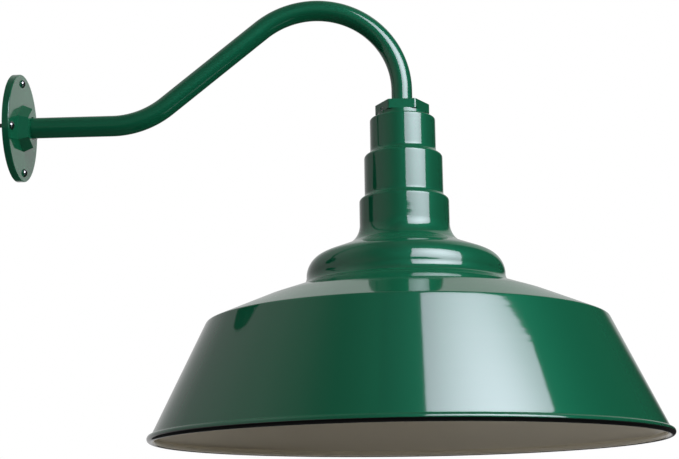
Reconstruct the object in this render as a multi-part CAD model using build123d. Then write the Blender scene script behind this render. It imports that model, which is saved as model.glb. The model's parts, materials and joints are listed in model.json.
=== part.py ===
from build123d import *
from math import cos, radians, sin, sqrt, tan
import os

# Gooseneck wall sconce. Millimetres. The origin is the centre of the wall plate's back face,
# +X points out of the wall and +Z up. The arm's first straight run lies on the X axis.

# ---- driving dimensions: arm ----
tube_radius = 10.65          # half-inch pipe
tube_wall = 2.3
bend_radius = 88.9           # all three bends come off one 3.5 in former
bend_angle = 38.9            # how steeply the diagonal climbs, degrees
straight_out = 100.2         # wall to the first bend
shade_axis = 398.7           # wall to the shade's centre line
arm_back = 1.2               # the tube's end behind the plate's web
arm_foot = -8.0              # the tube's lower end, inside the hub

# ---- driving dimensions: wall plate ----
plate_radius = 55.5
plate_thick = 7.0
plate_edge_round = 1.0
plate_clocking = 12.0        # where the thread happens to come tight, degrees about the arm
plate_rim = 4.0
recess_depth = 3.5
boss_base_radius = 24.4      # across-corner radii of the tapered hexagon
boss_end_radius = 20.0
boss_height = 10.0
boss_mouth = 1.2             # countersink round the tube
boss_root = 0.5              # how far the boss's foot is sunk into the plate
arm_screw_angle = plate_clocking + 300.0
bolt_circle_radius = 46.05   # 3 5/8 in circle
bolt_boss_radius = 7.5
bolt_hole_radius = 2.4
bolt_count = 4
ground_circle_radius = 31.0
ground_angle = plate_clocking + 45.0
ground_hole_depth = 5.0

# ---- driving dimensions: fasteners ----
screw_radius = 2.08          # number 8 machine screws
screw_neck_radius = 1.8      # unthreaded, under the head
screw_head_radius = 4.2
screw_head_height = 3.2
screw_length = 12.7
screw_slot = (1.1, 1.3)      # width and depth
small_screw_radius = 1.7
small_head_radius = 3.2
small_head_height = 1.9
ground_screw_length = 6.5
strap_screw_length = 8.0
bonding_screw_length = 4.0
terminal_screw_length = 5.0
set_screw_radius = 2.4
set_screw_hex = 1.25
set_screw_sink = 0.6         # how far its end lies below the flat
conduit_nut_radius = 14.2
conduit_nut_thick = 3.0
conduit_nut_lugs = 6
conduit_lug_radius = 2.4
bushing_wall = 1.5
bushing_depth = 8.0
fit_gap = 0.05               # between a thread and its hole
clearance = 0.3              # between pieces that only lie near each other
margin = 1.0                 # how far a cut runs past what it cuts

# ---- driving dimensions: hub ----
hub_radius = 27.9            # across the hexagon's corners before they are rounded
hub_top = 14.0
hub_hex_foot = 4.2           # where the hexagon meets its round collar
hub_corner_round = 2.5
hub_edge_round = 0.8
collar_radius = 25.4
collar_bottom = 0.2
spigot_radius = 13.0
spigot_bottom = -16.0
hub_screw_angle = 210.0
hub_screw_height = 6.8
gasket_radius = 24.0
hub_nut_radius = 19.5
hub_nut_thick = 7.0
hub_nut_chamfer = (2.4, 1.4)    # across and along the axis

# ---- driving dimensions: shade ----
sheet = 1.5
shade_top = -1.3
tier_radii = (33.3, 39.7, 45.2)
tier_tops = (shade_top, -40.8, -85.9)
shoulder_rounds = (2.3, 3.8, 3.8)
groove_rounds = (7.0, 5.3)
groove_slope = 64.0          # of the shoulder below each groove, degrees from upright
lower_outline = (            # below the tiers: each corner's radius and height, and its round
    ((tier_radii[2], -127.6), 24.0),    # the neck's foot, flaring out
    ((83.2, -142.2), 17.4),             # the dome's brow
    ((98.9, -149.5), 23.0),             # the dome turns down
    ((98.9, -173.5), 12.0),             # the crease between dome and cone
    ((143.3, -189.1), 120.0),           # the cone's slight belly
    ((198.4, -212.7), 3.0),             # the cone's edge, where the skirt starts
)
rim_radius = 254.0           # 20 in over the bead
rim_bottom = -327.9
bead_radius = 3.6
bead_turn = 318.0            # how far the edge is rolled round, degrees

# ---- driving dimensions: lampholder and lamp ----
strap_half_span = 25.0
strap_thick = 1.5
strap_top_width = 34.0
strap_leg_width = 20.0
strap_neck = (-10.0, -21.0)   # heights between which the stirrup narrows to its legs
strap_foot = -47.5
strap_foot_inner = 12.0
strap_screw_x = 17.5
bond_height = -36.0
socket_radius = 22.0
socket_lower_radius = 19.5
socket_top = strap_foot
socket_shoulder = -63.0
socket_mouth = -101.0
socket_ceiling = -63.0
shell_radius = 14.6
shell_wall = 0.4
shell_top = -67.0
terminal_height = -56.0
terminal_x = 19.0
terminal_slot = (12.0, 16.0, 8.0)   # the recess a lead drops into: width, height, depth
lamp_tip = -67.2
lamp_thread_radius = 13.1
lamp_thread_top = -71.5
lamp_thread_foot = -95.0
lamp_neck_radius = 13.6
lamp_bulb_radius = 33.5
lamp_flare_rise = (7.0, 26.0)       # a point on the neck's curve, out and down from the cap
lamp_bottom = -202.0
glass_wall = 1.0

# ---- driving dimensions: leads ----
lead_radius = 1.3
lead_side = 3.4              # the two current leads lie either side of the arm's centre line
lead_tail = -5.5             # cut ends in the wall box


def save(name, *solids):
    """One file per node; a group of like pieces stays separate solids."""
    shape = solids[0] if len(solids) == 1 else Compound(children=list(solids))
    export_step(shape, f"parts/{name}.step")


def at_axis(shape):
    """Pieces of the head are drawn about the Z axis and carried out to the shade's centre line."""
    return Pos(shade_axis, 0, 0) * shape


def from_wall(x, radius=0.0, angle=0.0):
    """A plane facing out of the wall, its centre on a circle round the arm."""
    turn = radians(angle)
    return Plane(origin=(x, radius * cos(turn), radius * sin(turn)), x_dir=(0, 1, 0), z_dir=(1, 0, 0))


def disc(plane, radius, depth):
    return extrude(plane * Circle(radius), depth)


def ring(outer, inner, top, bottom):
    """A ring about the Z axis."""
    face = Plane.XY.offset(bottom) * (Circle(outer) - Circle(inner))
    return extrude(face, top - bottom)


def plug(radius, top, bottom):
    """A round plug about the Z axis."""
    return Pos(0, 0, (top + bottom) / 2) * Cylinder(radius, top - bottom)


def spin(points):
    """Revolve a closed outline of (radius, height) corners about the Z axis."""
    with BuildSketch(Plane.XZ) as outline:
        with BuildLine():
            Polyline(*points, close=True)
        make_face()
    return revolve(outline.sketch, axis=Axis.Z)


def domed_screw(head_radius, head_height, shank_radius, shank_length):
    """A slotted screw on the Z axis, its domed head on z = 0 and above, its shank below."""
    side = head_height / 4
    rise = head_height - side
    dome = (head_radius**2 + rise**2) / (2 * rise)
    half_width = head_radius / 2
    with BuildSketch(Plane.XZ) as half_head:
        with BuildLine():
            Polyline((0, head_height), (0, 0), (head_radius, 0), (head_radius, side))
            ThreePointArc(
                (head_radius, side),
                (half_width, head_height - dome + sqrt(dome**2 - half_width**2)),
                (0, head_height),
            )
        make_face()
    width, depth = screw_slot
    screw = revolve(half_head.sketch, axis=Axis.Z) + plug(shank_radius, 0, -shank_length)
    return screw - Pos(0, 0, head_height) * Box(4 * head_radius, width, 2 * depth)


def set_screw(length):
    """A headless screw on the Z axis with a hexagon socket, its outer end on z = 0."""
    socket = extrude(RegularPolygon(set_screw_hex, 6), -length / 2)
    return plug(set_screw_radius, 0, -length) - socket


def flat_distance(corner_radius):
    """From a hexagon's centre to one of its flats."""
    return corner_radius * cos(radians(30))


# ---- arm ----
def arm_line(foot, start=arm_back):
    """The arm's centre line: out of the wall, up the diagonal and over to the shade's axis."""
    first_corner = straight_out + bend_radius * tan(radians(bend_angle / 2))
    second_corner = (shade_axis - first_corner) * tan(radians(bend_angle))
    with BuildLine(Plane.XZ) as line:
        FilletPolyline(
            (start, 0),
            (first_corner, 0),
            (shade_axis, second_corner),
            (shade_axis, foot),
            radius=bend_radius,
        )
    return line.line


def rod_along(line, radius):
    section = Plane(origin=line @ 0, z_dir=line % 0) * Circle(radius)
    return sweep(section, path=line)


def gooseneck_arm():
    line = arm_line(arm_foot)
    return rod_along(line, tube_radius) - rod_along(line, tube_radius - tube_wall)


# ---- wall plate ----
def bolt_angles():
    return [plate_clocking + 90 + 360 * n / bolt_count for n in range(bolt_count)]


def hexagon(plane, radius):
    return plane * RegularPolygon(radius, 6, rotation=30 + plate_clocking)


def plate_recess():
    """What is hollow behind the plate: all inside the rim but the bosses round its screws."""
    recess = disc(from_wall(0), plate_radius - plate_rim, recess_depth)
    for angle in bolt_angles():
        recess -= disc(from_wall(0, bolt_circle_radius, angle), bolt_boss_radius, recess_depth)
    ground_boss = disc(
        from_wall(0, ground_circle_radius, ground_angle), bolt_boss_radius, recess_depth
    )
    return recess - ground_boss


def plate_boss():
    """A hexagon that tapers towards its end."""
    return loft(
        [
            hexagon(from_wall(plate_thick - boss_root), boss_base_radius),
            hexagon(from_wall(plate_thick + boss_height), boss_end_radius),
        ]
    )


def wall_plate():
    end = plate_thick + boss_height
    hole = tube_radius + fit_gap
    plate = disc(from_wall(0), plate_radius, plate_thick)
    plate = fillet(plate.edges().group_by(Axis.X)[-1], plate_edge_round)
    plate = plate - plate_recess() + plate_boss()
    plate -= disc(from_wall(-margin), hole, end + 2 * margin)
    plate -= loft(
        [from_wall(end - boss_mouth) * Circle(hole), from_wall(end) * Circle(hole + boss_mouth)]
    )
    for angle in bolt_angles():
        plate -= disc(
            from_wall(-margin, bolt_circle_radius, angle), bolt_hole_radius, plate_thick + 2 * margin
        )
    plate -= disc(
        from_wall(-margin, ground_circle_radius, ground_angle),
        small_screw_radius + fit_gap,
        ground_hole_depth + margin,
    )
    return plate - arm_screw_place() * plug(
        set_screw_radius + fit_gap, 3 * margin, -boss_base_radius / 2
    )


def arm_screw_reach():
    """From the arm's centre line to the set screw's outer end, half-way along the tapered boss."""
    return flat_distance((boss_base_radius + boss_end_radius) / 2) - set_screw_sink


def arm_screw_place():
    angle = radians(arm_screw_angle)
    return Location(
        Plane(
            origin=(
                plate_thick + boss_height / 2,
                arm_screw_reach() * cos(angle),
                arm_screw_reach() * sin(angle),
            ),
            z_dir=(0, cos(angle), sin(angle)),
        )
    )


def mounting_screws():
    """Their unthreaded necks fill the plate's thickness, and the threads stand out behind it."""
    screw = domed_screw(screw_head_radius, screw_head_height, screw_radius, screw_length)
    screw -= ring(screw_radius + margin, screw_neck_radius, 0, -plate_thick)
    return [
        Location(from_wall(plate_thick, bolt_circle_radius, angle)) * screw for angle in bolt_angles()
    ]


def arm_set_screw():
    return arm_screw_place() * set_screw(arm_screw_reach() - tube_radius - fit_gap)


def arm_locknut():
    """A stamped conduit nut: a thin ring with lugs round its edge, against the plate's web."""
    back = recess_depth - conduit_nut_thick
    nut = disc(from_wall(back), conduit_nut_radius, conduit_nut_thick)
    for n in range(conduit_nut_lugs):
        place = from_wall(back, conduit_nut_radius, 360 * n / conduit_nut_lugs)
        nut += disc(place, conduit_lug_radius, conduit_nut_thick)
    return nut - disc(from_wall(back - margin), tube_radius + fit_gap, conduit_nut_thick + 2 * margin)


def ground_screw():
    """Its head stands behind the wall plane, where it holds the ground lead to the boss."""
    place = Plane(
        origin=from_wall(-2 * lead_radius, ground_circle_radius, ground_angle).origin,
        x_dir=(0, 1, 0),
        z_dir=(-1, 0, 0),
    )
    screw = domed_screw(small_head_radius, small_head_height, small_screw_radius, ground_screw_length)
    return Location(place) * screw


# ---- hub ----
def hub_cap():
    """A hexagon over a round collar, with a threaded spigot that goes through the shade."""
    outline = fillet(RegularPolygon(hub_radius, 6).vertices(), hub_corner_round)
    prism = extrude(Plane.XY.offset(hub_hex_foot) * outline, hub_top - hub_hex_foot)
    prism = fillet(prism.edges().group_by(Axis.Z)[-1], hub_edge_round)
    hub = prism + plug(collar_radius, hub_hex_foot, collar_bottom)
    hub += plug(spigot_radius, collar_bottom, spigot_bottom)
    hub -= plug(tube_radius + fit_gap, hub_top + margin, spigot_bottom - margin)
    hub -= hub_screw_place() * plug(set_screw_radius + fit_gap, margin, -hub_radius / 2)
    return hub


def hub_screw_place():
    """The set screw's outer end, a little below one of the hexagon's flats."""
    angle = radians(hub_screw_angle)
    reach = flat_distance(hub_radius) - set_screw_sink
    return Location(
        Plane(
            origin=(reach * cos(angle), reach * sin(angle), hub_screw_height),
            z_dir=(cos(angle), sin(angle), 0),
        )
    )


def hub_set_screw():
    reach = flat_distance(hub_radius) - set_screw_sink
    return hub_screw_place() * set_screw(reach - tube_radius - fit_gap)


def hub_gasket():
    return ring(gasket_radius, spigot_radius + fit_gap, collar_bottom, shade_top)


def hub_locknut():
    top = shade_top - sheet - strap_thick
    bottom = top - hub_nut_thick
    nut = extrude(Plane.XY.offset(bottom) * RegularPolygon(hub_nut_radius, 6), hub_nut_thick)
    cone = spin(
        [
            (0, top),
            (hub_nut_radius, top),
            (hub_nut_radius, bottom + hub_nut_chamfer[1]),
            (hub_nut_radius - hub_nut_chamfer[0], bottom),
            (0, bottom),
        ]
    )
    return (nut & cone) - plug(spigot_radius + fit_gap, top + margin, bottom - margin)


def wire_bushing():
    """A flanged plastic liner that keeps the leads off the tube's cut end."""
    inside = tube_radius - tube_wall
    return spin(
        [
            (inside - bushing_wall, arm_foot + bushing_depth),
            (inside - fit_gap, arm_foot + bushing_depth),
            (inside - fit_gap, arm_foot),
            (tube_radius - clearance, arm_foot),
            (tube_radius - clearance, arm_foot - bushing_wall),
            (inside - bushing_wall, arm_foot - bushing_wall),
        ]
    )


# ---- shade ----
def bead_centre():
    return rim_radius - bead_radius, rim_bottom + bead_radius


def shade_outline():
    """The shade's outer profile from the hub's hole to beside the bead's centre: corners and rounds."""
    lean = tan(radians(groove_slope))
    corners = [(spigot_radius + fit_gap, shade_top)]
    rounds = []
    for n, (radius, top) in enumerate(zip(tier_radii, tier_tops)):
        if n:
            step = radius - tier_radii[n - 1]
            corners.append((tier_radii[n - 1], top + step / lean))
            rounds.append(groove_rounds[n - 1])
        corners.append((radius, top))
        rounds.append(shoulder_rounds[n])
    for corner, rounding in lower_outline:
        corners.append(corner)
        rounds.append(rounding)
    bead = Vector(*bead_centre())
    out = (bead - Vector(*corners[-1])).normalized().rotate(Axis.Z, 90)
    foot = bead + out * sheet / 2
    corners.append((foot.X, foot.Y))
    return corners, rounds


def shade():
    """Spun in one piece: three tiers, a flare into the dome, a cone, the skirt and a rolled rim."""
    corners, rounds = shade_outline()
    bead = bead_centre()
    last = corners[-2]
    with BuildSketch(Plane.XZ) as profile:
        with BuildLine():
            outer = FilletPolyline(*corners, radius=rounds)
            offset(outer, amount=sheet, side=Side.RIGHT)
        make_face()
        with Locations(bead):
            Circle(bead_radius - sheet, mode=Mode.SUBTRACT)
        approach = Vector(last[0] - bead[0], last[1] - bead[1], 0)
        start = approach.get_angle(Vector(1, 0, 0))
        with BuildLine():
            CenterArc(bead, bead_radius - sheet / 2, start, bead_turn)
        trace(line_width=sheet)
    return revolve(profile.sketch, axis=Axis.Z)


# ---- lampholder ----
def socket_strap():
    """A strip bent into a stirrup: clamped under the hub, its feet turned in over the lampholder."""
    top = shade_top - sheet - strap_thick / 2
    side = strap_half_span - strap_thick / 2
    low = strap_foot + strap_thick / 2
    with BuildSketch(Plane.XZ) as strip:
        with BuildLine():
            FilletPolyline(
                (-strap_foot_inner, low),
                (-side, low),
                (-side, top),
                (side, top),
                (side, low),
                (strap_foot_inner, low),
                radius=2.2,
            )
        trace(line_width=strap_thick)
    wide, slim = strap_top_width / 2, strap_leg_width / 2
    shoulder, waist = strap_neck
    with BuildSketch(Plane.YZ) as front:
        with BuildLine():
            Polyline(
                (-wide, shade_top),
                (wide, shade_top),
                (wide, shoulder),
                (slim, waist),
                (slim, strap_foot),
                (-slim, strap_foot),
                (-slim, waist),
                (-wide, shoulder),
                close=True,
            )
        make_face()
    strap = extrude(strip.sketch, wide, both=True)
    strap &= extrude(front.sketch, 2 * strap_half_span, both=True)
    strap -= plug(spigot_radius + fit_gap, top + strap_thick, top - strap_thick)
    for side_x in (-strap_screw_x, strap_screw_x):
        strap -= Pos(side_x, 0, 0) * plug(small_screw_radius + fit_gap, low + 2, low - 2)
    bond_hole = Rot(0, 90, 0) * plug(small_screw_radius + fit_gap, strap_half_span + 1, 0)
    return strap - Pos(0, 0, bond_height) * bond_hole


def strap_screws():
    screw = domed_screw(small_head_radius, small_head_height, small_screw_radius, strap_screw_length)
    height = strap_foot + strap_thick
    return [Pos(x, 0, height) * screw for x in (-strap_screw_x, strap_screw_x)]


def bonding_screw():
    """Holds the ground lead to the stirrup's side."""
    screw = domed_screw(small_head_radius, small_head_height, small_screw_radius, bonding_screw_length)
    return Pos(strap_half_span, 0, bond_height) * (Rot(0, 90, 0) * screw)


def socket_body():
    body = spin(
        [
            (0, socket_top),
            (socket_radius - 1.5, socket_top),
            (socket_radius, socket_top - 1.5),
            (socket_radius, socket_shoulder),
            (socket_lower_radius, socket_shoulder - 5),
            (socket_lower_radius, socket_mouth + 4),
            (socket_lower_radius + 1.2, socket_mouth + 2.4),
            (socket_lower_radius + 1.2, socket_mouth),
            (shell_radius + fit_gap, socket_mouth),
            (shell_radius + fit_gap, socket_ceiling),
            (0, socket_ceiling),
        ]
    )
    for side in (-1, 1):
        wide, high, deep = terminal_slot
        floor = terminal_height - small_head_radius - 1.3
        body -= Pos(0, side * (terminal_x + deep / 2), floor + high / 2) * Box(wide, deep, high)
        hole = Rot(90, 0, 0) * plug(small_screw_radius + fit_gap, 7, -7)
        body -= Pos(0, side * terminal_x, terminal_height) * hole
        body -= Pos(side * strap_screw_x, 0, 0) * plug(
            small_screw_radius + fit_gap, socket_top + 1, socket_top - 8
        )
    return body


def terminal_screws():
    screw = domed_screw(small_head_radius, small_head_height, small_screw_radius, terminal_screw_length)
    return [
        Pos(0, side * terminal_x, terminal_height) * (Rot(-90 * side, 0, 0) * screw)
        for side in (-1, 1)
    ]


def socket_shell():
    """The threaded shell, open below, turned in at the top."""
    inner = shell_radius - shell_wall
    return spin(
        [
            (inner, socket_mouth + 1),
            (shell_radius, socket_mouth + 1),
            (shell_radius, shell_top),
            (shell_radius - 3.5, shell_top),
            (shell_radius - 3.5, shell_top - shell_wall),
            (inner, shell_top - shell_wall),
        ]
    )


def centre_contact():
    """A sprung brass leaf, fixed at one end to the ceiling of the lampholder."""
    leaf = 0.5
    with BuildSketch(Plane.XZ) as strip:
        with BuildLine():
            FilletPolyline(
                (-10.5, socket_ceiling - leaf / 2),
                (-6.0, socket_ceiling - leaf / 2),
                (-1.5, lamp_tip + leaf / 2 + 0.3),
                (3.0, lamp_tip + leaf / 2 + 0.3),
                radius=1.2,
            )
        trace(line_width=leaf)
    return extrude(strip.sketch, 2.5, both=True)


# ---- leads ----
def lead(side, target_side):
    """A current lead: straight through the arm beside its centre line, then down to a terminal."""
    inner = Plane.XZ.offset(-side)
    first_corner = straight_out + bend_radius * tan(radians(bend_angle / 2))
    second_corner = (shade_axis - first_corner) * tan(radians(bend_angle))
    foot = arm_foot - 12
    with BuildLine(inner) as through:
        FilletPolyline(
            (lead_tail, 0),
            (first_corner, 0),
            (shade_axis, second_corner),
            (shade_axis, foot),
            radius=bend_radius,
        )
    reach = target_side * (terminal_x + lead_radius)
    drop = foot - 2
    with BuildLine(Plane.YZ.offset(shade_axis)) as down:
        FilletPolyline(
            (side, foot),
            (side, drop - 4),
            (reach, drop - 14),
            (reach, terminal_height + small_head_radius + 0.3),
            radius=4.0,
        )
    return rod_along(through.line, lead_radius) + rod_along(down.line, lead_radius)


def ground_wire():
    """From the boss behind the plate, through the arm's middle, to the stirrup's side."""
    angle = radians(ground_angle)
    out = Vector(0, cos(angle), sin(angle))
    run = Plane(origin=(0, 0, 0), x_dir=(1, 0, 0), z_dir=Vector(1, 0, 0).cross(out))
    with BuildLine(run) as tail:
        FilletPolyline(
            (12, 0),
            (-lead_radius, 0),
            (-lead_radius, ground_circle_radius - small_screw_radius - 0.4 - lead_radius),
            radius=5.0,
        )
    through = arm_line(arm_foot - 8, start=12)
    beside = strap_half_span - strap_thick - lead_radius
    foot = arm_foot - 8
    with BuildLine(Plane(origin=(shade_axis, 0, 0), x_dir=(1, 0, 0), z_dir=(0, -1, 0))) as down:
        FilletPolyline(
            (0, foot),
            (0, foot - 4.5),
            (beside, foot - 12),
            (beside, bond_height + small_screw_radius + 0.3),
            radius=3.0,
        )
    return rod_along(tail.line, lead_radius) + rod_along(through, lead_radius) + rod_along(
        down.line, lead_radius
    )


# ---- lamp ----
def blown(inset):
    """The bulb's outer form, drawn in by a wall's thickness: a round end and one curve to the neck."""
    centre = lamp_bottom + lamp_bulb_radius
    radius = lamp_bulb_radius - inset
    neck = lamp_neck_radius - inset
    with BuildSketch(Plane.XZ) as half:
        with BuildLine():
            Spline(
                (neck, lamp_thread_foot),
                (neck + lamp_flare_rise[0], lamp_thread_foot - lamp_flare_rise[1]),
                (radius, centre),
                tangents=[(0, -1), (0, -1)],
            )
            ThreePointArc(
                (radius, centre),
                (radius * sin(radians(45)), centre - radius * cos(radians(45))),
                (0, centre - radius),
            )
            Polyline((0, centre - radius), (0, lamp_thread_foot), (neck, lamp_thread_foot))
        make_face()
    return revolve(half.sketch, axis=Axis.Z)


def lamp_glass():
    return blown(0) - blown(glass_wall)


def lamp_base():
    """The screw cap: a plain sleeve with a turned-in top."""
    wall = 0.5
    return spin(
        [
            (lamp_thread_radius - wall, lamp_thread_foot),
            (lamp_thread_radius, lamp_thread_foot),
            (lamp_thread_radius, lamp_thread_top),
            (lamp_thread_radius - 4.5, lamp_thread_top + 1.6),
            (lamp_thread_radius - 4.5, lamp_thread_top + 1.1),
            (lamp_thread_radius - wall, lamp_thread_top - 0.4),
        ]
    )


def lamp_insulator():
    edge = lamp_thread_radius - 4.5
    return spin(
        [
            (0, lamp_tip - 0.6),
            (4.4, lamp_tip - 0.9),
            (edge, lamp_thread_top + 1.6),
            (edge, lamp_thread_top + 1.1),
            (0, lamp_thread_top + 1.1),
        ]
    )


def lamp_contact():
    return spin([(0, lamp_tip), (3.2, lamp_tip - 0.5), (3.2, lamp_tip - 0.75), (0, lamp_tip - 0.6)])


save("wall_plate", wall_plate())
save("mounting_screws", *mounting_screws())
save("arm_set_screw", arm_set_screw())
save("arm_locknut", arm_locknut())
save("ground_screw", ground_screw())
save("gooseneck_arm", gooseneck_arm())
save("hub_cap", at_axis(hub_cap()))
save("hub_set_screw", at_axis(hub_set_screw()))
save("hub_gasket", at_axis(hub_gasket()))
save("hub_locknut", at_axis(hub_locknut()))
save("wire_bushing", at_axis(wire_bushing()))
save("shade", at_axis(shade()))
save("socket_strap", at_axis(socket_strap()))
save("strap_screws", *[at_axis(screw) for screw in strap_screws()])
save("bonding_screw", at_axis(bonding_screw()))
save("socket_body", at_axis(socket_body()))
save("terminal_screws", *[at_axis(screw) for screw in terminal_screws()])
save("socket_shell", at_axis(socket_shell()))
save("centre_contact", at_axis(centre_contact()))
save("line_wire", lead(-lead_side, -1))
save("neutral_wire", lead(lead_side, 1))
save("ground_wire", ground_wire())
save("lamp_glass", at_axis(lamp_glass()))
save("lamp_base", at_axis(lamp_base()))
save("lamp_insulator", at_axis(lamp_insulator()))
save("lamp_contact", at_axis(lamp_contact()))
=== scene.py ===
import json
from math import acos, atan2, ceil, cos, pi, radians, sin, sqrt, tan

import bpy
import numpy as np
from mathutils import Matrix, Vector


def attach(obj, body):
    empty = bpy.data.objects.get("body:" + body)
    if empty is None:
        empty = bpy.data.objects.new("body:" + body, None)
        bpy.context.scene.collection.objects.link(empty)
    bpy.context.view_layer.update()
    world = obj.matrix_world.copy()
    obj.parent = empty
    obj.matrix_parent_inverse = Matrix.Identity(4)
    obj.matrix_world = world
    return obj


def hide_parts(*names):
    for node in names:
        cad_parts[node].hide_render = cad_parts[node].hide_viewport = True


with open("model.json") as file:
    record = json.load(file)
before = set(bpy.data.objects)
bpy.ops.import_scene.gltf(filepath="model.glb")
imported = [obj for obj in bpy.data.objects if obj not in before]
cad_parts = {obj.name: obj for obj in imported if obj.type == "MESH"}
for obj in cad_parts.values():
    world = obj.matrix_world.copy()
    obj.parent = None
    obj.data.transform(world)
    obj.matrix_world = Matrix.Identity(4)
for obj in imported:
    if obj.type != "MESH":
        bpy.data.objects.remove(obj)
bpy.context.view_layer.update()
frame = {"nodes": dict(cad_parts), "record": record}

MM = 0.001


def add_object(name, data):
    """An object for a mesh, a light or a camera, put into the scene."""
    thing = bpy.data.objects.new(name, data)
    bpy.context.scene.collection.objects.link(thing)
    return thing


# ---- camera ----
# It stands in front of the shade, low down, and looks a little left and up.
CAMERA_PLACE = Vector((0.4099, -1.4373, -0.4226))
CAMERA_LEFT, CAMERA_UP, CAMERA_ROLL = radians(3.06), radians(12.08), radians(0.70)
FOCAL_PIXELS = 1462.8
FRAME_WIDTH_PIXELS = 679
SENSOR_MM = 36.0
CAMERA_FAR = 50                # how far it sees, in metres


def make_camera():
    """A camera without shift, turned left, then up, then rolled."""
    level_right = Vector((cos(CAMERA_LEFT), sin(CAMERA_LEFT), 0))
    ahead = Vector((-sin(CAMERA_LEFT), cos(CAMERA_LEFT), 0))
    forward = ahead * cos(CAMERA_UP) + Vector((0, 0, sin(CAMERA_UP)))
    level_up = level_right.cross(forward)
    right = cos(CAMERA_ROLL) * level_right - sin(CAMERA_ROLL) * level_up
    up = sin(CAMERA_ROLL) * level_right + cos(CAMERA_ROLL) * level_up
    data = bpy.data.cameras.new("camera")
    data.sensor_fit = "HORIZONTAL"
    data.sensor_width = SENSOR_MM
    data.lens = FOCAL_PIXELS / FRAME_WIDTH_PIXELS * SENSOR_MM
    data.clip_end = CAMERA_FAR
    camera = add_object("camera", data)
    turn = Matrix((right, up, -forward)).transposed().to_4x4()
    camera.matrix_world = Matrix.Translation(CAMERA_PLACE) @ turn
    bpy.context.scene.camera = camera


# ---- sizes that the remade pieces share with the solids, in millimetres ----
SHADE_AXIS = 398.7
TUBE_RADIUS = 10.65
TUBE_WALL = 2.3
BEND_RADIUS = 88.9
BEND_ANGLE = radians(38.9)
STRAIGHT_OUT = 100.2
ARM_BACK, ARM_FOOT = 1.2, -8.0

SHEET = 1.5
SPIGOT_HOLE = 13.05
SHADE_TOP = -1.3
TIER_RADII = (33.3, 39.7, 45.2)
TIER_TOPS = (SHADE_TOP, -40.8, -85.9)
SHOULDER_ROUNDS = (2.3, 3.8, 3.8)
GROOVE_ROUNDS = (7.0, 5.3)
GROOVE_SLOPE = radians(64)
# Corners down to the cone's break, and their rounding.
LOWER_OUTLINE = (
    ((45.2, -127.6), 24.0),
    ((83.2, -142.2), 17.4),
    ((98.9, -149.5), 23.0),
    ((98.9, -173.5), 12.0),
    ((143.3, -189.1), 120.0),
    ((198.4, -212.7), 3.0),
)
RIM_RADIUS, RIM_BOTTOM = 254.0, -327.9
BEAD_RADIUS = 3.6
RIM_FILLET = 1.2               # paint run where the bead meets the sheet
BEAD_SHADOW_START, BEAD_SHADOW_END = radians(2), radians(-124)    # where a near-black band is painted round the bead's underside: painted shade where the bead faces down

# How finely curves are cut: the largest turns and steps from one point to the next.
BEND_CUT = radians(6)
BEAD_CUT = radians(8)
FILLET_CUT = radians(10)
SHADE_ROUND_STEP, SHADE_STRAIGHT_STEP = 0.8, 2.5
ARM_ROUND_STEP, ARM_STRAIGHT_STEP = 1.5, 4.0
SHADE_SIDES, TUBE_SIDES = 320, 72


# ---- drawing ----
def rounded_path(corners, rounds, step):
    """Points along a polyline with rounded inner corners, at most a step apart on the rounds."""
    corners = [np.array(c, float) for c in corners]
    path = [corners[0]]
    for before, corner, after, radius in zip(corners, corners[1:], corners[2:], rounds):
        back = (before - corner) / np.linalg.norm(before - corner)
        on = (after - corner) / np.linalg.norm(after - corner)
        opening = acos(float(np.clip(back @ on, -1, 1)))
        middle = (back + on) / np.linalg.norm(back + on)
        centre = corner + middle * radius / sin(opening / 2)
        start = corner + back * radius / tan(opening / 2) - centre
        sweep = pi - opening
        count = max(2, ceil(sweep * radius / step), ceil(sweep / BEND_CUT))
        for n in range(count + 1):
            angle = sweep * n / count
            path.append(centre + cos(angle) * start - sin(angle) * radius * back)
    path.append(corners[-1])
    return np.array(path)


def sheet_side(path, distance):
    """The same path shifted sideways by a distance, to the right of its direction when positive."""
    ahead = np.gradient(path, axis=0)
    ahead /= np.linalg.norm(ahead, axis=1)[:, None]
    return path + distance * np.stack([ahead[:, 1], -ahead[:, 0]], axis=1)


def subdivided(path, step):
    """The path with points added so that none are further than a step apart."""
    out = [path[0]]
    for a, b in zip(path, path[1:]):
        count = max(1, ceil(np.linalg.norm(b - a) / step))
        out += [a + (b - a) * n / count for n in range(1, count + 1)]
    return np.array(out)


def arc(centre, radius, start, end, step):
    """Points round a part of a circle."""
    count = max(2, ceil(abs(end - start) / step))
    angles = np.linspace(start, end, count + 1)
    return np.array(centre) + radius * np.stack([np.cos(angles), np.sin(angles)], axis=1)


def finish_mesh(name, vertices, faces, coats, slots=None, smooth=True):
    """A mesh in metres from points in millimetres, each face with its coat's number."""
    mesh = bpy.data.meshes.new(name)
    mesh.from_pydata([tuple(v) for v in np.asarray(vertices) * MM], [], faces)
    for coat in coats:
        mesh.materials.append(coat)
    if slots is not None:
        mesh.polygons.foreach_set("material_index", slots)
    if smooth:
        mesh.polygons.foreach_set("use_smooth", [True] * len(mesh.polygons))
    mesh.validate()
    mesh.update()
    return add_object(name, mesh)


def lathe(name, outline, centre, around, coats, slots):
    """A closed outline of (radius, height) turned about an upright axis through the centre."""
    turns = np.linspace(0, 2 * pi, around, endpoint=False)
    radii, heights = outline[:, 0], outline[:, 1]
    x = centre[0] + radii[:, None] * np.cos(turns)
    y = centre[1] + radii[:, None] * np.sin(turns)
    z = np.repeat(heights[:, None], around, axis=1)
    vertices = np.stack([x, y, z], axis=2).reshape(-1, 3)
    rows = len(outline)
    faces, numbers = [], []
    for row in range(rows):
        below = (row + 1) % rows
        for n in range(around):
            m = (n + 1) % around
            upper, lower = row * around, below * around
            faces.append((upper + n, upper + m, lower + m, lower + n))
            numbers.append(slots[row])
    return finish_mesh(name, vertices, faces, coats, numbers)


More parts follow.
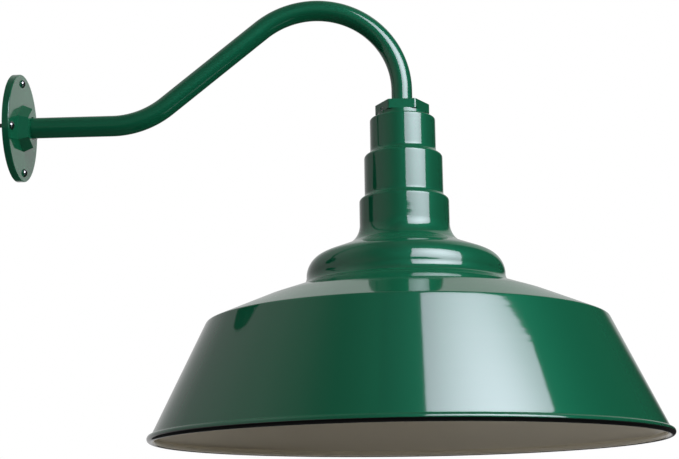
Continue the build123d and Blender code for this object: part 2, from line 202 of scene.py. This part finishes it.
# ---- materials ----
def srgb(red, green, blue):
    """Linear colour from the usual 0 to 255 numbers."""
    def linear(c):
        c /= 255
        return c / 12.92 if c <= 0.04045 else ((c + 0.055) / 1.055) ** 2.4
    return (linear(red), linear(green), linear(blue), 1.0)


# A wave is a count of lumps per metre, and heights are in metres.
PAINT = srgb(20, 105, 73)
# near black for the painted shade under the rim's bead, not a paint the shade has
BEAD_SHADOW_BLACK = srgb(16, 18, 17)
PIGMENT_ROUGHNESS, PIGMENT_SHEEN = 0.55, 0.2
COAT_ROUGHNESS = 0.07
SHEET_WAVE, SHEET_WAVE_HEIGHT = 45, 0.00003
CAST_WAVE, CAST_WAVE_HEIGHT = 650, 0.00002
TUBE_WAVE, TUBE_WAVE_HEIGHT = 90, 0.000012
RING_STRETCH = (2.5, 2.5, 160)    # the rings that spinning leaves: long round, 160 to the metre
RING_HEIGHT = 0.00004
ENAMEL_WAVE, ENAMEL_WAVE_HEIGHT = 90, 0.00002
METAL_WAVE = 900
METAL_SMOOTHEST, METAL_ROUGHEST = 0.8, 1.3    # times the metal's roughness
PLASTIC_WAVE, PLASTIC_WAVE_HEIGHT = 2500, 0.000004
FROST_WAVE, FROST_WAVE_HEIGHT = 3000, 0.000003
FROST_CLEAR = 0.55                # share of the light that the frosted glass lets through
NOISE_LOW, NOISE_HIGH = 0.3, 0.7  # between which nearly all of a noise lies


def value(node, socket, number):
    node.inputs[socket].default_value = number


def shader_of(material):
    return material.node_tree.nodes["Principled BSDF"]


def new_material(name, colour, roughness, metallic=0.0, ior=1.5):
    material = bpy.data.materials.new(name)
    material.use_nodes = True
    shader = shader_of(material)
    value(shader, "Base Color", colour)
    value(shader, "Roughness", roughness)
    value(shader, "Metallic", metallic)
    value(shader, "IOR", ior)
    return material


def add_node(owner, kind, **settings):
    """A node in a material's, a light's or the world's tree."""
    node = owner.node_tree.nodes.new(kind)
    for key, setting in settings.items():
        setattr(node, key, setting)
    return node


def noise(material, scale, detail=2.0):
    """Noise fixed to the object, its scale in lumps per metre."""
    place = add_node(material, "ShaderNodeTexCoord")
    texture = add_node(material, "ShaderNodeTexNoise")
    value(texture, "Scale", scale)
    value(texture, "Detail", detail)
    material.node_tree.links.new(place.outputs["Object"], texture.inputs["Vector"])
    return texture


def add_bump(material, texture, height):
    """The texture as relief, its height in metres."""
    bump = add_node(material, "ShaderNodeBump")
    value(bump, "Strength", 1.0)
    value(bump, "Distance", height)
    links = material.node_tree.links
    links.new(texture.outputs["Fac"], bump.inputs["Height"])
    links.new(bump.outputs["Normal"], shader_of(material).inputs["Normal"])


def vary_roughness(material, texture, low, high):
    """A roughness that wanders between two levels with the texture."""
    spread = add_node(material, "ShaderNodeMapRange")
    value(spread, "From Min", NOISE_LOW)
    value(spread, "From Max", NOISE_HIGH)
    value(spread, "To Min", low)
    value(spread, "To Max", high)
    links = material.node_tree.links
    links.new(texture.outputs["Fac"], spread.inputs["Value"])
    links.new(spread.outputs["Result"], shader_of(material).inputs["Roughness"])


def gloss_paint(name, wave, height, colour=PAINT):
    """Stoved gloss paint: a slightly wavy clear coat that mirrors, over a softer colour."""
    material = new_material(name, colour, PIGMENT_ROUGHNESS, metallic=PIGMENT_SHEEN)
    shader = shader_of(material)
    value(shader, "Specular IOR Level", 0.0)
    value(shader, "Coat Weight", 1.0)
    value(shader, "Coat Roughness", COAT_ROUGHNESS)
    add_bump(material, noise(material, wave, detail=1.0), height)
    flow = shader.inputs["Normal"].links[0].from_socket
    material.node_tree.links.new(flow, shader.inputs["Coat Normal"])
    return material


def spun_paint(name):
    """Gloss paint over spun sheet, whose faint rings break up the edges of what it mirrors."""
    material = gloss_paint(name, SHEET_WAVE, SHEET_WAVE_HEIGHT)
    links = material.node_tree.links
    place = add_node(material, "ShaderNodeTexCoord")
    squeeze = add_node(material, "ShaderNodeMapping")
    value(squeeze, "Scale", RING_STRETCH)
    rings = add_node(material, "ShaderNodeTexNoise")
    value(rings, "Scale", 1.0)
    value(rings, "Detail", 2.0)
    links.new(place.outputs["Object"], squeeze.inputs["Vector"])
    links.new(squeeze.outputs["Vector"], rings.inputs["Vector"])
    ripple = add_node(material, "ShaderNodeBump")
    value(ripple, "Strength", 1.0)
    value(ripple, "Distance", RING_HEIGHT)
    shader = shader_of(material)
    flow = shader.inputs["Normal"].links[0].from_socket
    links.new(rings.outputs["Fac"], ripple.inputs["Height"])
    links.new(flow, ripple.inputs["Normal"])
    links.new(ripple.outputs["Normal"], shader.inputs["Normal"])
    links.new(ripple.outputs["Normal"], shader.inputs["Coat Normal"])
    return material


def white_enamel():
    material = new_material("white_enamel", srgb(226, 219, 203), 0.22)
    add_bump(material, noise(material, ENAMEL_WAVE, detail=1.0), ENAMEL_WAVE_HEIGHT)
    return material


def metal(name, colour, roughness):
    material = new_material(name, colour, roughness, metallic=1.0)
    low, high = roughness * METAL_SMOOTHEST, roughness * METAL_ROUGHEST
    vary_roughness(material, noise(material, METAL_WAVE), low, high)
    return material


def plastic(name, colour, roughness=0.4):
    material = new_material(name, colour, roughness)
    add_bump(material, noise(material, PLASTIC_WAVE), PLASTIC_WAVE_HEIGHT)
    return material


def frosted_glass():
    material = new_material("frosted_glass", srgb(240, 238, 230), 0.45, ior=1.45)
    value(shader_of(material), "Transmission Weight", FROST_CLEAR)
    add_bump(material, noise(material, FROST_WAVE), FROST_WAVE_HEIGHT)
    return material


materials = {
    "painted_casting": gloss_paint("painted_casting", CAST_WAVE, CAST_WAVE_HEIGHT),
    "painted_tube": gloss_paint("painted_tube", TUBE_WAVE, TUBE_WAVE_HEIGHT),
    "painted_shade": spun_paint("painted_shade"),
    "steel": metal("steel", srgb(182, 184, 186), 0.32),
    "black_screw": metal("black_screw", srgb(128, 130, 130), 0.14),
    "brass": metal("brass", srgb(196, 160, 92), 0.3),
    "porcelain": new_material("porcelain", srgb(232, 230, 222), 0.18),
    "rubber": plastic("rubber", srgb(26, 26, 26), 0.7),
    "black_plastic": plastic("black_plastic", srgb(24, 24, 25)),
    "line_insulation": plastic("line_insulation", srgb(28, 28, 30)),
    "neutral_insulation": plastic("neutral_insulation", srgb(228, 226, 220)),
    "ground_insulation": plastic("ground_insulation", srgb(52, 128, 66)),
    "frosted_glass": frosted_glass(),
    "lamp_metal": metal("lamp_metal", srgb(190, 190, 186), 0.25),
    "black_glass": new_material("black_glass", srgb(14, 14, 16), 0.12),
}
enamel = white_enamel()
# painted shade: near-black gloss paint on the bead's underside, standing in for the shadow there
bead_painted_shadow = gloss_paint("bead_painted_shadow", SHEET_WAVE, SHEET_WAVE_HEIGHT, BEAD_SHADOW_BLACK)


def finish_nodes():
    """Each piece carried over from the solids takes its slot's material."""
    for part in frame["record"]["subparts"]:
        mesh = frame["nodes"][part["node"]].data
        mesh.materials.clear()
        mesh.materials.append(materials[part["material_slot"]])


# ---- pieces remade from the solids' own sizes, with finer surfaces ----
GREEN, WHITE, PAINTED_SHADOW = 0, 1, 2    # the shade's coats of paint, the last a painted shadow under the bead


def shade_profile():
    """The shade's closed outline and, for each of its points, the number of its coat of paint."""
    corners, rounds = [(SPIGOT_HOLE, SHADE_TOP)], []
    for n, (radius, top) in enumerate(zip(TIER_RADII, TIER_TOPS)):
        if n:
            step = radius - TIER_RADII[n - 1]
            corners.append((TIER_RADII[n - 1], top + step / tan(GROOVE_SLOPE)))
            rounds.append(GROOVE_ROUNDS[n - 1])
        corners.append((radius, top))
        rounds.append(SHOULDER_ROUNDS[n])
    for corner, rounding in LOWER_OUTLINE:
        corners.append(corner)
        rounds.append(rounding)
    # The bead is a circle about this point, and up and out are the sheet's directions from it.
    bead = np.array((RIM_RADIUS - BEAD_RADIUS, RIM_BOTTOM + BEAD_RADIUS))
    up = np.array(corners[-1]) - bead
    up /= np.linalg.norm(up)
    out = np.array((up[1], -up[0]))
    half = SHEET / 2
    reach = sqrt((BEAD_RADIUS + RIM_FILLET) ** 2 - (half + RIM_FILLET) ** 2)
    corners.append(bead + out * half + up * reach)
    outer = rounded_path(corners, rounds, SHADE_ROUND_STEP)
    outer = subdivided(outer, SHADE_STRAIGHT_STEP)
    inner = sheet_side(outer, SHEET)[::-1]
    # A fillet on either side joins the bead to the sheet.
    tilt = atan2(up[1], up[0])
    outside = bead + out * (half + RIM_FILLET) + up * reach
    inside = bead - out * (half + RIM_FILLET) + up * reach
    meet = atan2(half + RIM_FILLET, reach)
    join_out = arc(outside, RIM_FILLET, tilt + pi / 2, tilt + pi - meet, FILLET_CUT)
    roll = arc(bead, BEAD_RADIUS, tilt - meet, tilt - 2 * pi + meet, BEAD_CUT)
    join_in = arc(inside, RIM_FILLET, tilt + meet - pi, tilt - pi / 2, FILLET_CUT)
    outline = np.concatenate([outer[:-1], join_out[:-1], roll[:-1], join_in[:-1], inner])
    slots = np.full(len(outline), GREEN)
    first = len(outer) - 1 + len(join_out) - 1
    turned = np.linspace(tilt - meet, tilt - 2 * pi + meet, len(roll))
    # round the bead's underside the painted shadow comes first, then the white enamel inside
    slots[first + int(np.searchsorted(-turned, -BEAD_SHADOW_START)):] = PAINTED_SHADOW
    slots[first + int(np.searchsorted(-turned, -BEAD_SHADOW_END)):] = WHITE
    return outline, slots


def make_shade():
    outline, slots = shade_profile()
    coats = [materials["painted_shade"], enamel, bead_painted_shadow]
    skin = lathe("shade_skin", outline, (SHADE_AXIS, 0), SHADE_SIDES, coats, slots)
    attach(skin, "fixture")
    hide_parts("shade")


def tube(name, path, radius, bore, around, material):
    """A pipe along a path that lies in the XZ plane, its ends left square."""
    ahead = np.gradient(path, axis=0)
    ahead /= np.linalg.norm(ahead, axis=1)[:, None]
    side = np.stack([-ahead[:, 1], ahead[:, 0]], axis=1)
    turns = np.linspace(0, 2 * pi, around, endpoint=False)
    vertices, count = [], len(path)
    for r in (radius, bore):
        for point, across in zip(path, side):
            for turn in turns:
                x, z = point + across * r * cos(turn)
                vertices.append((x, r * sin(turn), z))
    faces = []
    ring = [row * around for row in range(2 * count)]
    order = list(range(count)) + list(range(2 * count - 1, count - 1, -1))
    for a, b in zip(order, order[1:] + order[:1]):
        for n in range(around):
            m = (n + 1) % around
            faces.append((ring[a] + n, ring[b] + n, ring[b] + m, ring[a] + m))
    return finish_mesh(name, vertices, faces, [material])


def make_arm():
    first = STRAIGHT_OUT + BEND_RADIUS * tan(BEND_ANGLE / 2)
    top = (SHADE_AXIS - first) * tan(BEND_ANGLE)
    corners = [(ARM_BACK, 0), (first, 0), (SHADE_AXIS, top), (SHADE_AXIS, ARM_FOOT)]
    path = rounded_path(corners, [BEND_RADIUS] * 2, ARM_ROUND_STEP)
    path = subdivided(path, ARM_STRAIGHT_STEP)
    bore = TUBE_RADIUS - TUBE_WALL
    arm = tube("arm_pipe", path, TUBE_RADIUS, bore, TUBE_SIDES, materials["painted_tube"])
    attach(arm, "fixture")
    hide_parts("gooseneck_arm")


# ---- studio ----
HEAD = Vector((0.40, 0.0, -0.10))    # in the shade's neck: lights are placed from it
SOFT_BOX_PLACE = HEAD + Vector((0.847, -0.916, 0.833))
SOFT_BOX_ACROSS = Vector((0.876, 0.451, -0.168))
SOFT_BOX_UPWARD = Vector((0.038, 0.283, 0.958))
SOFT_BOX_SIZE = (1.51, 1.30)
SOFT_BOX_COLOUR = (0.83, 0.77, 0.93)
SOFT_BOX_RADIANCE = 12.2
SOFT_BOX_MIDDLE, SOFT_BOX_CORNER = 1.48, 0.66    # times that radiance
SOFT_BOX_FADE = 0.70           # where the corner's level is reached, in widths from the middle
KEY_RADIANCE = 4.6             # of the light that the soft box sheds
FILL_PLACE = HEAD + Vector((-0.85, -0.35, -0.95))
FILL_SIZE, FILL_RADIANCE = 1.0, 0.5
BACK_PLACE = HEAD + Vector((-0.15, 1.70, 0.60))
BACK_SIZE, BACK_RADIANCE = 1.5, 5.0
BELOW_PLACE = HEAD + Vector((0.10, 1.10, -1.45))
BELOW_SIZE, BELOW_RADIANCE = 1.2, 2.4
FLOOR_HEIGHT, FLOOR_REACH = -3.2, 15.0
FLOOR_COLOUR = (0.8, 0.8, 0.79, 1)
FLOOR_SHED = 0.35              # the floor's grey in gloss and for the light it throws back
FLOOR_GLOW_COLOUR = (1, 1, 0.99, 1)
FLOOR_GLOW = 0.6               # a light that only the camera sees, so the floor stays pale
ROOM_SHED = 0.13               # how much of the mirrored room's light falls on the lamp
# What gloss mirrors all round: degrees from the camera's side towards the right, and a grey.
ROOM = (
    (-180, 0.54),
    (-172, 0.54),
    (-150, 0.58),
    (-130, 0.44),
    (-110, 0.40),
    (-91, 0.50),
    (-80, 0.55),
    (-55, 0.54),
    (-40, 0.42),
    (-30, 0.33),
    (-20, 0.20),
    (-8, 0.11),
    (80, 0.12),
    (105, 0.07),
    (130, 0.04),
    (150, 0.03),
    (163, 0.02),
    (167, 0.06),
    (169, 0.30),
    (171, 0.52),
    (176, 0.57),
    (179, 0.72),
    (180, 0.54),
)
ROOM_OVERHEAD = 0.17
OVERHEAD_FROM, OVERHEAD_WHOLE = 0.82, 0.95    # it takes over between these sines of height
ROOM_LEAN = radians(45)        # the room's uprights lean by this much from level to overhead


def soft_light(name, radiance, colour=(1, 1, 1)):
    """A rectangular soft light, high on the right of the camera and slightly rolled."""
    data = bpy.data.lights.new(name, "AREA")
    data.shape = "RECTANGLE"
    data.size, data.size_y = SOFT_BOX_SIZE
    data.energy = radiance * pi * data.size * data.size_y
    data.color = colour
    light = add_object(name, data)
    axes = (SOFT_BOX_ACROSS, SOFT_BOX_UPWARD, SOFT_BOX_ACROSS.cross(SOFT_BOX_UPWARD))
    turn = Matrix([axis.normalized() for axis in axes]).transposed().to_4x4()
    light.matrix_world = Matrix.Translation(SOFT_BOX_PLACE) @ turn
    light.visible_camera = False
    return light


def hot_middle(data):
    """Makes an area light brightest in its middle, as a soft box is over its lamp.

    Places on it run from 0 to 1 both ways.
    """
    data.use_nodes = True
    across = add_node(data, "ShaderNodeNewGeometry")
    off_centre = add_node(data, "ShaderNodeVectorMath", operation="DISTANCE")
    value(off_centre, 1, (0.5, 0.5, 0))
    fade = add_node(data, "ShaderNodeMapRange", interpolation_type="SMOOTHSTEP")
    value(fade, "From Max", SOFT_BOX_FADE)
    value(fade, "To Min", SOFT_BOX_MIDDLE)
    value(fade, "To Max", SOFT_BOX_CORNER)
    link = data.node_tree.links.new
    link(across.outputs["Parametric"], off_centre.inputs[0])
    link(off_centre.outputs["Value"], fade.inputs["Value"])
    link(fade.outputs["Result"], data.node_tree.nodes["Emission"].inputs["Strength"])


def plain_light(name, place, size, radiance):
    """A square light that is aimed at the shade, and that gloss doesn't mirror."""
    data = bpy.data.lights.new(name, "AREA")
    data.size = size
    data.energy = radiance * pi * size ** 2
    light = add_object(name, data)
    light.location = place
    light.rotation_euler = (HEAD - place).to_track_quat("-Z", "Y").to_euler()
    light.visible_camera = light.visible_glossy = False


def make_lights():
    """The soft box is two lights in one place: the one that gloss mirrors and the light it sheds.

    Weak lights low on the left and low behind reach into the shade. One behind lights the far side.
    """
    soft_box = soft_light("soft_box", SOFT_BOX_RADIANCE, SOFT_BOX_COLOUR)
    soft_box.visible_diffuse = False
    hot_middle(soft_box.data)
    soft_light("key", KEY_RADIANCE).visible_glossy = False
    plain_light("fill", FILL_PLACE, FILL_SIZE, FILL_RADIANCE)
    plain_light("back", BACK_PLACE, BACK_SIZE, BACK_RADIANCE)
    plain_light("below", BELOW_PLACE, BELOW_SIZE, BELOW_RADIANCE)


def make_world():
    """White for the camera and through glass. Gloss shows a room, dark in front and at right."""
    world = bpy.data.worlds.new("studio")
    bpy.context.scene.world = world
    world.use_nodes = True
    world.node_tree.nodes.clear()
    link = world.node_tree.links.new

    def light(strength):
        made = add_node(world, "ShaderNodeBackground")
        value(made, "Color", (1, 1, 1, 1))
        value(made, "Strength", strength)
        return made

    # how far round a ray points, counted further the higher it points
    rays = add_node(world, "ShaderNodeLightPath")
    direction = add_node(world, "ShaderNodeTexCoord")
    split = add_node(world, "ShaderNodeSeparateXYZ")
    link(direction.outputs["Generated"], split.inputs[0])
    forward = add_node(world, "ShaderNodeMath", operation="MULTIPLY")
    value(forward, 1, -1)
    link(split.outputs["Y"], forward.inputs[0])
    turn = add_node(world, "ShaderNodeMath", operation="ARCTAN2")
    link(split.outputs["X"], turn.inputs[0])
    link(forward.outputs[0], turn.inputs[1])
    lean = add_node(world, "ShaderNodeMath", operation="MULTIPLY_ADD")
    value(lean, 1, ROOM_LEAN)
    link(split.outputs["Z"], lean.inputs[0])
    link(turn.outputs[0], lean.inputs[2])
    share = add_node(world, "ShaderNodeMapRange")
    value(share, "From Min", -pi)
    value(share, "From Max", pi)
    link(lean.outputs[0], share.inputs["Value"])
    # the room's grey there, or the one overhead
    ramp = add_node(world, "ShaderNodeValToRGB")
    stops = ramp.color_ramp.elements
    while len(stops) > 1:
        stops.remove(stops[-1])
    for n, (degrees, grey) in enumerate(ROOM):
        place = (degrees + 180) / 360
        stop = stops.new(place) if n else stops[0]
        stop.position = place
        stop.color = (grey, grey, grey, 1)
    link(share.outputs["Result"], ramp.inputs["Fac"])
    overhead = add_node(world, "ShaderNodeMapRange")
    value(overhead, "From Min", OVERHEAD_FROM)
    value(overhead, "From Max", OVERHEAD_WHOLE)
    link(split.outputs["Z"], overhead.inputs["Value"])
    room = add_node(world, "ShaderNodeMix", data_type="RGBA")
    value(room, "B", (ROOM_OVERHEAD, ROOM_OVERHEAD, ROOM_OVERHEAD, 1))
    link(overhead.outputs["Result"], room.inputs["Factor"])
    link(ramp.outputs["Color"], room.inputs["A"])
    # which rays meet the room, which the light it sheds, and which the white backdrop
    mirrored = light(1.0)
    link(room.outputs["Result"], mirrored.inputs["Color"])
    shed = light(ROOM_SHED)
    link(ramp.outputs["Color"], shed.inputs["Color"])
    backdrop = light(1.0)
    for_gloss = add_node(world, "ShaderNodeMixShader")
    link(rays.outputs["Is Glossy Ray"], for_gloss.inputs["Fac"])
    link(shed.outputs[0], for_gloss.inputs[1])
    link(mirrored.outputs[0], for_gloss.inputs[2])
    straight = add_node(world, "ShaderNodeMath", operation="MAXIMUM")
    link(rays.outputs["Is Camera Ray"], straight.inputs[0])
    link(rays.outputs["Is Transmission Ray"], straight.inputs[1])
    seen = add_node(world, "ShaderNodeMixShader")
    link(straight.outputs[0], seen.inputs["Fac"])
    link(for_gloss.outputs[0], seen.inputs[1])
    link(backdrop.outputs[0], seen.inputs[2])
    output = add_node(world, "ShaderNodeOutputWorld")
    link(seen.outputs[0], output.inputs["Surface"])


def make_floor():
    """A pale floor, as far below as a lamp over a door hangs, and darker for all but the camera."""
    material = new_material("floor", FLOOR_COLOUR, 0.9)
    rays = add_node(material, "ShaderNodeLightPath")
    mix = add_node(material, "ShaderNodeMix", data_type="RGBA")
    value(mix, "A", (FLOOR_SHED, FLOOR_SHED, FLOOR_SHED, 1))
    value(mix, "B", FLOOR_COLOUR)
    glow = add_node(material, "ShaderNodeMath", operation="MULTIPLY")
    value(glow, 1, FLOOR_GLOW)
    links = material.node_tree.links
    shader = shader_of(material)
    value(shader, "Emission Color", FLOOR_GLOW_COLOUR)
    links.new(rays.outputs["Is Camera Ray"], mix.inputs["Factor"])
    links.new(mix.outputs["Result"], shader.inputs["Base Color"])
    links.new(rays.outputs["Is Camera Ray"], glow.inputs[0])
    links.new(glow.outputs[0], shader.inputs["Emission Strength"])
    half, height = FLOOR_REACH / MM, FLOOR_HEIGHT / MM
    corners = [(x * half, y * half, height) for x, y in ((-1, -1), (1, -1), (1, 1), (-1, 1))]
    floor = finish_mesh("floor", corners, [(0, 1, 2, 3)], [material], smooth=False)


finish_nodes()
make_shade()
make_arm()
make_camera()
make_lights()
make_world()
make_floor()
bpy.context.scene.view_settings.view_transform = "Standard"
